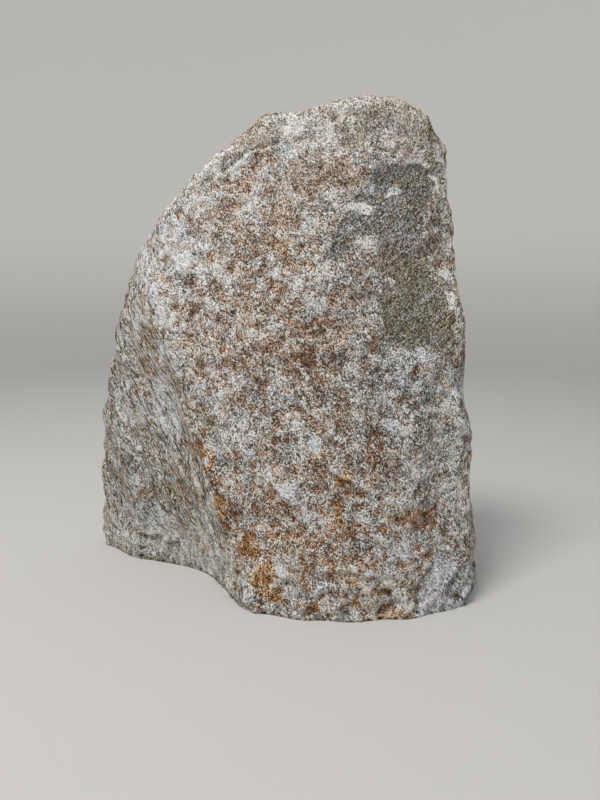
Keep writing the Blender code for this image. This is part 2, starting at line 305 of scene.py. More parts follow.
PALE = (
    Mark(-0.076, 0.029, 0.010, 0.006, 0.90),
    Mark(-0.064, 0.166, 0.012, 0.018, 0.45),
    Mark(-0.044, 0.145, 0.009, 0.010, 0.52),
    Mark(-0.044, 0.112, 0.008, 0.010, 0.34),
    Mark(-0.044, 0.070, 0.008, 0.010, 0.66),
    Mark(0.031, 0.166, 0.010, 0.010, 0.42),
    Mark(-0.024, 0.165, 0.010, 0.010, 0.35),
    Mark(-0.024, 0.128, 0.009, 0.012, 0.38),
    Mark(-0.024, 0.052, 0.009, 0.010, 0.42),
    Mark(-0.024, 0.239, 0.014, 0.010, 0.32),
    Mark(0.031, 0.284, 0.009, 0.016, 0.36),
    Mark(-0.006, 0.350, 0.011, 0.008, 0.50),
    Mark(-0.098, 0.186, 0.026, 0.018, 0.42),
    Mark(0.068, 0.293, 0.009, 0.007, 0.80),
    Mark(-0.095, 0.235, 0.030, 0.060, 0.56),
    Mark(-0.062, 0.285, 0.034, 0.042, 0.30),
    Mark(-0.065, 0.305, 0.013, 0.015, 0.80),
    Mark(-0.080, 0.287, 0.012, 0.016, 0.70),
    # Painted light high on the flank
    Mark(-0.125, 0.155, 0.022, 0.036, 0.45),
    # A paler, warmer foot: partly tan stone, partly painted light over the shade of the chips
    Mark(0.070, 0.020, 0.060, 0.018, 0.50),
    Mark(-0.070, 0.257, 0.012, 0.009, 0.95),
    Mark(-0.050, 0.322, 0.010, 0.010, 0.90),
    Mark(-0.022, 0.295, 0.009, 0.006, 0.80),
    Mark(0.009, 0.332, 0.008, 0.008, 0.80),
    Mark(0.014, 0.353, 0.010, 0.006, 0.80),
    Mark(0.034, 0.346, 0.013, 0.011, 0.85),
    Mark(0.058, 0.294, 0.005, 0.004, 1.00),
    Mark(0.034, 0.252, 0.013, 0.020, 0.68),
    Mark(0.021, 0.238, 0.012, 0.008, 0.50),
    Mark(-0.047, 0.135, 0.014, 0.016, 0.25),
    Mark(-0.025, 0.080, 0.018, 0.018, 0.25),
    Mark(0.013, 0.040, 0.010, 0.006, 0.55),
    Mark(0.085, 0.026, 0.006, 0.003, 0.85),
    Mark(0.041, 0.011, 0.009, 0.005, 0.55),
    Mark(-0.064, 0.132, 0.011, 0.014, 0.55),
    Mark(-0.080, 0.218, 0.013, 0.013, 0.60),
    Mark(-0.080, 0.184, 0.014, 0.011, 0.70),
    Mark(0.031, 0.222, 0.009, 0.009, 0.84),
    Mark(0.070, 0.268, 0.009, 0.007, 0.85),
    Mark(0.089, 0.305, 0.006, 0.003, 0.90),
    Mark(0.070, 0.309, 0.009, 0.007, 0.75),
    Mark(0.116, 0.287, 0.003, 0.005, 0.70),
    Mark(0.118, 0.258, 0.006, 0.002, 0.75),
    Mark(0.130, 0.245, 0.004, 0.004, 0.85),
    Mark(0.132, 0.227, 0.003, 0.008, 0.88),
    Mark(0.138, 0.215, 0.003, 0.005, 0.95),
    Mark(0.095, 0.185, 0.016, 0.006, 0.45),
    Mark(0.125, 0.150, 0.007, 0.005, 0.70),
    Mark(0.145, 0.133, 0.004, 0.008, 0.80),
    Mark(0.014, 0.152, 0.010, 0.005, 0.30),
    Mark(0.025, 0.120, 0.014, 0.008, 0.60),
    Mark(0.042, 0.101, 0.005, 0.004, 1.00),
    Mark(0.009, 0.092, 0.009, 0.006, 1.00),
    Mark(-0.002, 0.060, 0.007, 0.004, 0.90),
    Mark(0.005, 0.033, 0.008, 0.006, 0.80),
    Mark(0.090, 0.049, 0.017, 0.008, 0.62),
    Mark(0.088, 0.009, 0.008, 0.004, 0.80),
    Mark(0.130, 0.018, 0.020, 0.016, 0.47),
    Mark(-0.100, 0.042, 0.014, 0.010, 0.60),
    Mark(-0.090, 0.016, 0.024, 0.008, 0.50),
    # Painted light on the ridge between the front and the flank, where it turns from the lamp
    Mark(-0.089, 0.141, 0.013, 0.030, 0.95),
    Mark(-0.062, 0.045, 0.012, 0.018, 0.60),
    Mark(0.124, 0.121, 0.009, 0.015, 0.35),
)
# Where the grains are bluish
BLUE = (
    Mark(-0.110, 0.044, 0.026, 0.014, 0.75),
    Mark(0.010, 0.332, 0.010, 0.010, 0.70),
    Mark(0.024, 0.276, 0.010, 0.012, 0.55),
    Mark(-0.098, 0.262, 0.016, 0.022, 0.55),
    Mark(0.093, 0.172, 0.026, 0.014, 0.75),
    Mark(0.088, 0.046, 0.024, 0.014, 0.60),
)
HAZE = (
    Mark(0.030, 0.312, 0.032, 0.028, 0.60),
    Mark(0.122, 0.270, 0.014, 0.050, 0.50),
    Mark(-0.014, 0.350, 0.036, 0.012, 0.75),
)
# Dark grains and patches, many of them painted shade in small pits and hollows
DARK = (
    Mark(-0.123, 0.103, 0.014, 0.028, 0.35),
    Mark(0.098, 0.095, 0.028, 0.070, 0.22),
    Mark(0.076, 0.142, 0.018, 0.016, 0.58),
    Mark(0.066, 0.183, 0.011, 0.010, 0.42),
    Mark(0.088, 0.127, 0.012, 0.010, 0.42),
    Mark(-0.029, 0.146, 0.009, 0.008, 0.40),
    # Painted shade low on the flank
    Mark(-0.090, 0.045, 0.030, 0.016, 0.22),
    Mark(-0.108, 0.142, 0.010, 0.009, 0.35),
    Mark(-0.034, 0.294, 0.024, 0.009, 0.30),
    Mark(-0.086, 0.256, 0.010, 0.009, 0.26),
    Mark(0.068, 0.256, 0.010, 0.008, 0.38),
    Mark(0.088, 0.238, 0.011, 0.008, 0.36),
    Mark(0.044, 0.212, 0.013, 0.018, 0.42),
    Mark(0.050, 0.166, 0.012, 0.011, 0.55),
    Mark(0.031, 0.066, 0.012, 0.018, 0.34),
    Mark(0.003, 0.088, 0.018, 0.009, 0.30),
    Mark(0.126, 0.041, 0.010, 0.007, 0.34),
    Mark(-0.100, 0.060, 0.016, 0.014, 0.40),
    Mark(-0.075, 0.055, 0.011, 0.010, 0.28),
    Mark(0.036, 0.313, 0.026, 0.018, 0.34),
    Mark(0.122, 0.264, 0.010, 0.028, 0.38),
    Mark(0.067, 0.240, 0.011, 0.011, 0.38),
    Mark(0.060, 0.162, 0.022, 0.034, 0.38),
    Mark(-0.108, 0.238, 0.009, 0.010, 0.40),
    Mark(-0.142, 0.109, 0.009, 0.014, 0.35),
    Mark(-0.120, 0.016, 0.008, 0.006, 0.55),
    Mark(-0.091, 0.016, 0.004, 0.007, 0.50),
    Mark(0.030, 0.186, 0.012, 0.014, 0.62),
    Mark(0.087, 0.275, 0.018, 0.008, 0.50),
    Mark(-0.044, 0.090, 0.008, 0.008, 0.35),
    Mark(0.052, 0.073, 0.015, 0.010, 0.30),
    Mark(0.106, 0.090, 0.012, 0.024, 0.28),
    Mark(0.055, 0.106, 0.032, 0.020, 0.20),
    Mark(0.018, 0.110, 0.018, 0.034, 0.32),
    Mark(0.016, 0.256, 0.010, 0.009, 0.34),
    Mark(0.003, 0.327, 0.019, 0.011, 0.38),
    Mark(-0.003, 0.219, 0.010, 0.010, 0.30),
    Mark(-0.062, 0.221, 0.009, 0.010, 0.28),
    Mark(0.129, 0.308, 0.008, 0.010, 0.28),
    Mark(0.127, 0.238, 0.008, 0.010, 0.60),
    Mark(0.106, 0.105, 0.014, 0.016, 0.26),
    Mark(-0.045, 0.238, 0.012, 0.011, 0.70),
    Mark(-0.026, 0.292, 0.009, 0.008, 0.40),
    Mark(0.084, 0.157, 0.026, 0.030, 0.48),
    Mark(0.005, 0.148, 0.022, 0.012, 0.50),
    Mark(0.012, 0.084, 0.010, 0.014, 0.30),
    Mark(0.026, 0.203, 0.016, 0.009, 0.28),
    Mark(0.021, 0.159, 0.015, 0.013, 0.32),
    Mark(0.031, 0.131, 0.010, 0.010, 0.52),
    Mark(0.106, 0.278, 0.007, 0.006, 0.45),
    Mark(0.065, 0.018, 0.004, 0.003, 0.90),
    Mark(0.026, 0.018, 0.004, 0.003, 0.90),
    Mark(0.026, 0.007, 0.003, 0.005, 0.80),
    Mark(0.056, 0.006, 0.003, 0.004, 0.80),
    Mark(0.075, 0.086, 0.004, 0.003, 0.90),
    Mark(-0.009, 0.332, 0.007, 0.005, 0.80),
    Mark(-0.066, 0.241, 0.009, 0.005, 0.60),
    Mark(-0.041, 0.182, 0.008, 0.004, 0.70),
    Mark(-0.013, 0.162, 0.010, 0.006, 0.70),
    Mark(0.045, 0.184, 0.006, 0.006, 0.70),
    Mark(0.033, 0.202, 0.007, 0.004, 0.70),
    Mark(0.081, 0.172, 0.007, 0.005, 0.70),
    Mark(0.107, 0.153, 0.018, 0.006, 0.90),
    Mark(0.048, 0.137, 0.006, 0.005, 0.70),
    Mark(0.092, 0.136, 0.008, 0.004, 0.60),
    Mark(0.132, 0.128, 0.004, 0.010, 0.70),
    Mark(-0.021, 0.070, 0.012, 0.007, 0.80),
    Mark(0.114, 0.066, 0.013, 0.012, 0.42),
    Mark(0.119, 0.350, 0.008, 0.013, 0.60),
    # Painted shade in two of the notches at the foot
    Mark(0.052, 0.008, 0.004, 0.004, 1.00),
    Mark(0.082, 0.006, 0.005, 0.004, 1.00),
)
MARKS = {"rust": RUST, "orange": ORANGE, "pale": PALE, "dark": DARK}

# The zones that the material reads
ZONES = ("rust", "orange", "pale", "dark", "olive", "bluish", "streaky", "haze", "pit")
STONE_TONE = 0.490
PATCH_TONE = 0.372
PATCH_SLANT = 41.0
STONE_ROUGHNESS = 0.86
BUMP_HEIGHT = 0.0020

# Colours of the grains, from the darkest to the lightest, as linear red, green and blue
GREY_GRAINS = ((0.044, 0.040, 0.031), (0.150, 0.139, 0.113), (0.350, 0.333, 0.294),
               (0.605, 0.590, 0.560), (0.900, 0.900, 0.885))
BUFF_GRAINS = ((0.048, 0.042, 0.021), (0.160, 0.141, 0.084), (0.370, 0.342, 0.252),
               (0.620, 0.595, 0.510), (0.880, 0.875, 0.825))
COOL_GRAINS = ((0.041, 0.043, 0.044), (0.137, 0.143, 0.146), (0.320, 0.339, 0.354),
               (0.550, 0.590, 0.635), (0.840, 0.880, 0.920))
RUST_GRAINS = ((0.070, 0.030, 0.013), (0.208, 0.099, 0.051), (0.405, 0.241, 0.148),
               (0.645, 0.480, 0.355), (0.875, 0.785, 0.700))
OCHRE_GRAINS = ((0.080, 0.029, 0.008), (0.235, 0.094, 0.026), (0.440, 0.208, 0.074),
                (0.660, 0.410, 0.210), (0.870, 0.730, 0.550))
OLIVE_GRAINS = ((0.046, 0.041, 0.029), (0.125, 0.114, 0.075), (0.250, 0.229, 0.165),
                (0.415, 0.395, 0.320), (0.660, 0.650, 0.600))
SLATE_GRAINS = ((0.036, 0.038, 0.040), (0.106, 0.108, 0.105), (0.217, 0.220, 0.213),
                (0.394, 0.400, 0.393), (0.650, 0.660, 0.655))


def facing(heading, rise):
    """The unit vector of a compass heading that looks up by rise, both in degrees. The front is 270."""
    turn = math.radians(heading)
    up = math.radians(rise)
    return Vector((math.cos(turn) * math.cos(up), math.sin(turn) * math.cos(up), math.sin(up)))


def foliation_frame():
    """The turn into the foliation's directions: across its grains, along them and through its layers."""
    through = facing(FOLIATION_HEADING, FOLIATION_RISE)
    plunge = math.radians(PLUNGE)
    along = Vector((math.cos(plunge), 0.0, -math.sin(plunge)))
    along = (along - along.dot(through) * through).normalized()
    return Matrix((along.cross(through), along, through))


def smooth_step(values):
    values = np.clip(values, 0.0, 1.0)
    return values * values * (3.0 - 2.0 * values)


def ramp(values, start, end):
    """0 up to start, 1 from end on, and a smooth step between. The end may be the lower one."""
    return smooth_step((values - start) / (end - start))


def noise_at(places, size, seed):
    """Even noise from about -1 to 1 at each place. The size is one number, or one per axis."""
    shift = seed * Vector((1.0, 2.0, -1.0))
    return np.array([noise.noise(Vector(place) + shift) for place in places / np.asarray(size)])


def pattern_at(places, pattern):
    return pattern.middle + pattern.swing * noise_at(places, pattern.size, pattern.seed)


def distance_to_line(line, x, z):
    """How far each place (x, z) is from a line of straight stretches."""
    nearest = np.full(len(x), 1e9)
    for (x0, z0), (x1, z1) in zip(line, line[1:]):
        run, climb = x1 - x0, z1 - z0
        along = np.clip(((x - x0) * run + (z - z0) * climb) / (run * run + climb * climb), 0.0, 1.0)
        nearest = np.minimum(nearest, np.hypot(x - x0 - along * run, z - z0 - along * climb))
    return nearest


def near_line(line, x, z, width):
    """1 on a line, and falling off evenly over width on both sides."""
    return np.exp(-(distance_to_line(line, x, z) / width) ** 2)


def depth_inside(outline, x, z):
    """How far each place (x, z) lies inside a closed outline, and below zero outside it."""
    closed = outline + outline[:1]
    inside = np.zeros(len(x), bool)
    for (x0, z0), (x1, z1) in zip(closed, closed[1:]):
        spans = (z0 > z) != (z1 > z)
        crossing = x0 + (z - z0) * (x1 - x0) / (z1 - z0 if z1 != z0 else 1e-9)
        inside ^= spans & (x < crossing)
    return np.where(inside, 1.0, -1.0) * distance_to_line(closed, x, z)


def amount_of(marks, x, z):
    """The strongest of the marks at each place."""
    found = np.zeros(len(x))
    for mark in marks:
        away = np.hypot((x - mark.x) / mark.across, (z - mark.z) / mark.high)
        found = np.maximum(found, mark.amount * ramp(away, 1.5, 0.5))
    return found


def lift(zone, amount):
    """Raise a zone to an amount wherever it is lower."""
    np.maximum(zone, amount, out=zone)


def even_mesh(node):
    """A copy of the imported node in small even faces."""
    block = bpy.data.objects.new("block", node.data.copy())
    bpy.context.scene.collection.objects.link(block)
    even = block.modifiers.new("even faces", "REMESH")
    even.mode = "VOXEL"
    even.voxel_size = VOXEL
    graph = bpy.context.evaluated_depsgraph_get()
    mesh = bpy.data.meshes.new_from_object(block.evaluated_get(graph))
    bpy.data.objects.remove(block)
    mesh.materials.clear()
    return mesh


def places_of(mesh):
    places = np.empty(3 * len(mesh.vertices))
    mesh.vertices.foreach_get("co", places)
    return places.reshape(-1, 3)


def normals_of(mesh):
    normals = np.empty(3 * len(mesh.vertices))
    mesh.vertex_normals.foreach_get("vector", normals)
    return normals.reshape(-1, 3)


def put_places(mesh, places):
    mesh.vertices.foreach_set("co", places.ravel())
    mesh.update()


def relaxed(mesh, passes):
    """The mesh's places after each has moved towards its neighbours. The base stays flat."""
    places = places_of(mesh)
    edges = np.empty(2 * len(mesh.edges), int)
    mesh.edges.foreach_get("vertices", edges)
    first, second = edges.reshape(-1, 2).T
    count = len(places)
    neighbours = np.bincount(edges, minlength=count)[:, None]
    base = places[:, 2] < 0.6 * VOXEL
    places[base, 2] = 0.0
    for _ in range(passes):
        total = np.empty_like(places)
        for axis in range(3):
            total[:, axis] = np.bincount(first, places[second, axis], count)
            total[:, axis] += np.bincount(second, places[first, axis], count)
        places += 0.5 * (total / neighbours - places)
        places[base, 2] = 0.0
    return places


class Surface:
    """The stone's surface, point by point: where it is, where it faces, and which zone it is in."""

    def __init__(self, places, normals):
        self.places = places
        self.normals = normals
        turn = np.array(foliation_frame())
        self.layers = places @ turn.T + np.stack([pattern_at(places, sway) for sway in LAYER_SWAY], 1)
        self.cut_across = 1.0 - (normals @ turn[2]) ** 2
        # Patches follow a ragged x and z, and most lines keep closer to the true ones.
        self.x = places[:, 0] + sum(pattern_at(places, ragged) for ragged in RAGGED_X)
        self.z = places[:, 2] + sum(pattern_at(places, ragged) for ragged in RAGGED_Z)
        self.line_x = 0.65 * places[:, 0] + 0.35 * self.x
        self.line_z = 0.65 * places[:, 2] + 0.35 * self.z
        self.front = ramp(normals[:, 1], -0.05, -0.35)
        flank_normal = np.array(facing(FLANK_HEADING, FLANK_RISE))
        self.flank = ramp(normals @ flank_normal, 0.86, 0.96) * (places[:, 0] < FLANK_END)
        self.patch = self.front * ramp(depth_inside(OLIVE_PATCH, self.x, self.z), -0.00450, 0.00450)
        self.corner = self.front * ramp(depth_inside(LOWER_FACET, self.x, self.z), -0.00175, 0.00175)
        # The slanting grooves of the lower right facet, from -1 in their beds to 1 between them
        slant = 0.86 * self.x - 0.50 * self.z
        self.groove = np.sin(slant * 2 * math.pi / GROOVE_SPACING + pattern_at(places, GROOVE_WANDER))
        # The foot of the flank is fluted, up to an edge that climbs to the right.
        self.chisel = self.flank * ramp(self.z - 0.2 * (self.x + 0.125), 0.027, 0.023)
        self.flute = np.sin(self.x * 2 * math.pi / FLUTE_SPACING + pattern_at(places, FLUTE_WANDER))
        # The foot of the front is broken into chips, with clefts between them.
        self.chipped = self.front * (1.0 - self.flank) * (1.0 - self.corner)
        self.chipped *= ramp(self.z - pattern_at(places, CHIPS_END), 0.034, 0.022)
        self.cleft = self.chipped * (1.0 - np.minimum(np.abs(pattern_at(places, CLEFT_COURSE)), 1.0))
        self.cleft *= smooth_step(pattern_at(places, CLEFT_BREAKS)) * ramp(self.z, 0.028, 0.018)
        for cleft in FOOT_CLEFTS:
            lift(self.cleft, self.front * near_line(cleft, self.line_x, self.line_z, CLEFT_WIDTH))
        self.pit = ramp(sum(pattern_at(places, pits) for pits in PITS), -0.08, -0.44)
        self.pit *= (1.0 - 0.7 * self.patch) * (1.0 - 0.6 * self.flank) * (1.0 - 0.8 * self.corner)

    def traced(self, trace):
        """How strong a trace is at each place, line by line."""
        x, z = (self.x, self.z) if trace.ragged else (self.line_x, self.line_z)
        return [trace.amount * near_line(line, x, z + trace.below, trace.width) for line in trace.lines]


def relief_of(surface):
    """How far each point of the surface moves out."""
    places, front, x, z = surface.places, surface.front, surface.x, surface.z
    rise = np.zeros(len(places))
    for swell in SWELLS:
        rise += (1.0 - 0.55 * surface.patch) * pattern_at(places, swell)
    for layer in LAYERS:
        thin = noise_at(surface.layers, (layer.length, layer.length, layer.thickness), layer.seed)
        rise += layer.height * surface.cut_across * np.clip(LAYER_STEEPNESS * thin, -1.0, 1.0)
    rise -= PATCH_DEPTH * surface.patch + PIT_DEPTH * surface.pit

    for trace in RELIEF_TRACES:
        rise += front * sum(surface.traced(trace))
    # The ledges are broken off here and there.
    unbroken = smooth_step(pattern_at(places, LEDGE_BREAKS))
    for trace in LEDGE_TRACES:
        rise += front * unbroken * sum(surface.traced(trace))

    # The shoulder above the crease, and the summit
    rise += SHOULDER_LIFT * front * ramp(z - 0.45 * (x + 0.028), 0.329, 0.337) * ramp(x, 0.012, -0.008)
    rise += SUMMIT_LIFT * np.exp(-((x - SUMMIT_X) / SUMMIT_WIDTH) ** 2) * ramp(z, 0.350, 0.368)
    rise += surface.corner * (GROOVE_HEIGHT * surface.groove - FACET_DEPTH)
    rise += FLUTE_HEIGHT * surface.chisel * surface.flute
    rise -= CHIPPED_DEPTH * surface.chipped + CLEFT_DEPTH * surface.cleft
    rise += CHIP_HEIGHT * surface.chipped * np.clip(pattern_at(places, CHIPS), -0.6, 0.4)
    for notch in NOTCHES:
        away = np.hypot(x - notch.x, z - notch.z)
        rise -= notch.depth * front * np.exp(-(away / notch.radius) ** 2)

    # The relief is weaker next to the base, and the base itself stays flat.
    return rise * (0.25 + 0.75 * ramp(places[:, 2], 0.0, 0.003)) * (places[:, 2] > 0.0)


def zones_of(surface):
    """The zones that the material reads, each from 0 to 1."""
    places, front, x, z = surface.places, surface.front, surface.x, surface.z
    flank, corner, chisel, flute = surface.flank, surface.corner, surface.chisel, surface.flute
    zones = {}
    for name, marks in MARKS.items():
        share, pattern = BACK[name]
        on_back = (1.0 - front) * share * smooth_step(pattern_at(places, pattern))
        zones[name] = front * amount_of(marks, x, z) + on_back
    rust, orange, pale, dark = (zones[name] for name in ("rust", "orange", "pale", "dark"))

    # Thin rust lies all over the front, less so low on the right. Ochre gathers low down.
    rust += front * (0.30 - 0.14 * ramp(x, 0.085, 0.115) * ramp(z, 0.190, 0.160))
    rust *= (1.0 - 0.90 * corner) * (1.0 - 0.20 * flank) * (1.0 - front * amount_of(BARE, x, z))
    lift(orange, 0.42 * front * ramp(z, 0.150, 0.060) * (1.0 - flank) * (1.0 - corner))
    # Where the upper left edge faces up it is painted paler: a painted highlight along the rim.
    lit_rim = ramp(surface.normals[:, 2], 0.32, 0.57) * ramp(places[:, 2], 0.20, 0.25)
    lift(pale, 0.80 * lit_rim * ramp(places[:, 0], -0.025, -0.045))

    for name, trace in TINT_TRACES:
        lift(zones[name], front * np.max(surface.traced(trace), axis=0))
    # Rust is taken out under the painted shade of the crease and the middle step.
    rust *= 1.0 - front * np.max([surface.traced(trace)[0] for trace in CREASE_SHADE_TRACES], axis=0)
    lift(pale, np.max(surface.traced(WHITE_TRACE), axis=0))
    cream = front * np.max(surface.traced(CREAM_TRACE), axis=0)
    lift(pale, cream * smooth_step(pattern_at(places, CREAM_BREAKS)))
    stain = front * surface.traced(STAIN_TRACE)[0] * np.clip(pattern_at(places, STAIN_BREAKS), 0.0, 1.0)
    lift(orange, stain)
    lift(dark, 0.20 * stain)

    # The lower right facet, the flutes at the foot of the flank, and the clefts of the front's foot
    # The facet is paler stone, painted paler still to the right where it turns from the lamp, with
    # painted shade in its groove beds
    lift(pale, corner * (0.36 + 0.15 * ramp(x, 0.122, 0.148)))
    lift(dark, 0.28 * corner * smooth_step(-1.6 * surface.groove - 0.7))
    # The flutes: pale stone with a painted highlight on their crests, ochre in their beds, and painted
    # shade in the deepest beds
    lift(pale, chisel * (0.36 + 0.54 * smooth_step(flute)))
    lift(orange, 0.58 * chisel * smooth_step(0.2 - flute))
    lift(dark, 0.40 * chisel * smooth_step(-1.5 * flute - 0.4))
    # Painted shade in the clefts, over brown rust
    lift(dark, 0.60 * surface.cleft)
    lift(orange, 0.75 * surface.cleft)

    olive = surface.patch * (1.0 - ramp(pale, 0.45, 0.85))
    bluish = olive * np.maximum(0.60 * ramp(z, 0.240, 0.290), ramp(x, 0.078, 0.066))
    lift(bluish, 0.80 * corner)
    lift(bluish, front * amount_of(BLUE, x, z))
    streaky = np.maximum(ramp(surface.cut_across, 0.10, 0.38), 0.85 * flank) * (1.0 - 0.70 * chisel)
    haze = np.maximum(amount_of(HAZE, x, z), ramp(z, 0.322, 0.344) * ramp(x, 0.010, 0.050))
    lift(haze, 0.75 * corner)
    lift(haze, 0.60 * flank * ramp(z, 0.060, 0.040))
    return dict(zip(ZONES, (rust, orange, pale, dark, olive, bluish, streaky, haze, surface.pit)))


def stone_surface():
    """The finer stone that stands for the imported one."""
    mesh = even_mesh(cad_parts["stone"])
    put_places(mesh, relaxed(mesh, SMOOTHING_PASSES))
    surface = Surface(places_of(mesh), normals_of(mesh))
    put_places(mesh, surface.places + surface.normals * relief_of(surface)[:, None])
    for name, values in zones_of(surface).items():
        zone = mesh.attributes.new(name, "FLOAT", "POINT")
        zone.data.foreach_set("value", np.clip(values, 0.0, 1.0))
    mesh.shade_smooth()
    stone = bpy.data.objects.new("stone_surface", mesh)
    bpy.context.scene.collection.objects.link(stone)
    mesh.materials.append(stone_material())
    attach(stone, "root")
    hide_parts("stone")


class Graph:
    """Short names for the nodes of one material."""

    def __init__(self, name):
        material = bpy.data.materials.new(name)
        material.use_nodes = True
        self.material = material
        self.tree = material.node_tree
        self.shader = self.tree.nodes["Principled BSDF"]

    def put(self, socket, value):
        if isinstance(value, bpy.types.NodeSocket):
            self.tree.links.new(value, socket)
        else:
            socket.default_value = value

    def node(self, kind, inputs, **settings):
        made = self.tree.nodes.new(kind)
        for name, value in settings.items():
            setattr(made, name, value)
        for name, value in inputs.items():
            self.put(made.inputs[name], value)
        return made

    def math(self, operation, first, second=0.0):
        return self.node("ShaderNodeMath", {0: first, 1: second}, operation=operation).outputs[0]

    def vector(self, operation, first, second):
        return self.node("ShaderNodeVectorMath", {0: first, 1: second}, operation=operation).outputs[0]

    def times(self, value, factor):
        return self.math("MULTIPLY", value, factor)

    def weighted(self, start, *terms):
        """The start plus the sum of (value - middle) * weight over terms (value, middle, weight)."""
        total = start
        for value, middle, weight in terms:
            total = self.math("ADD", self.times(self.math("SUBTRACT", value, middle), weight), total)
        return total

    def level(self, value, low, high):
        """0 below low, 1 above high, and a smooth step between."""
        inputs = {"Value": value, "From Min": low, "From Max": high}
        return self.node("ShaderNodeMapRange", inputs, interpolation_type="SMOOTHSTEP").outputs["Result"]

    def zone(self, name):
        return self.node("ShaderNodeAttribute", {}, attribute_name=name).outputs["Fac"]

    def noise(self, place, size, detail=2.0, roughness=0.60):
        inputs = {"Vector": place, "Scale": 1.0 / size, "Detail": detail, "Roughness": roughness}
        return self.node("ShaderNodeTexNoise", inputs).outputs["Fac"]

    def shake(self, place, size):
        """Noise that moves a place, from -0.5 to 0.5 along each axis."""
        made = self.node("ShaderNodeTexNoise", {"Vector": place, "Scale": 1.0 / size, "Detail": 1.0})
        return self.vector("SUBTRACT", made.outputs["Color"], (0.5, 0.5, 0.5))

    def shaken(self, place, shake, reach):
        return self.vector("ADD", place, self.scaled(shake, reach, reach, reach))

    def scaled(self, place, *factors):
        return self.vector("MULTIPLY", place, factors)

    def turned(self, place, angles):
        return self.node("ShaderNodeMapping", {"Vector": place, "Rotation": angles}).outputs[0]

    def cells(self, place, size):
        """A number from 0 to 1 for each crystal."""
        found = self.node("ShaderNodeTexVoronoi", {"Vector": place, "Scale": 1.0 / size})
        return self.node("ShaderNodeSeparateColor", {"Color": found.outputs["Color"]}).outputs[0]

    def mixed(self, share, first, second):
        made = self.tree.nodes.new("ShaderNodeMix")
        made.data_type = "RGBA"
        for index, value in ((0, share), (6, first), (7, second)):
            self.put(made.inputs[index], value)
        return made.outputs[2]

    def ramp(self, value, colours):
        """Colours at even steps from 0 to 1."""
        made = self.node("ShaderNodeValToRGB", {"Fac": value})
        stops = made.color_ramp.elements
        while len(stops) < len(colours):
            stops.new(0.5)
        for number, colour in enumerate(colours):
            stops[number].position = number / (len(colours) - 1)
            stops[number].color = (*colour, 1.0)
        return made.outputs["Color"]


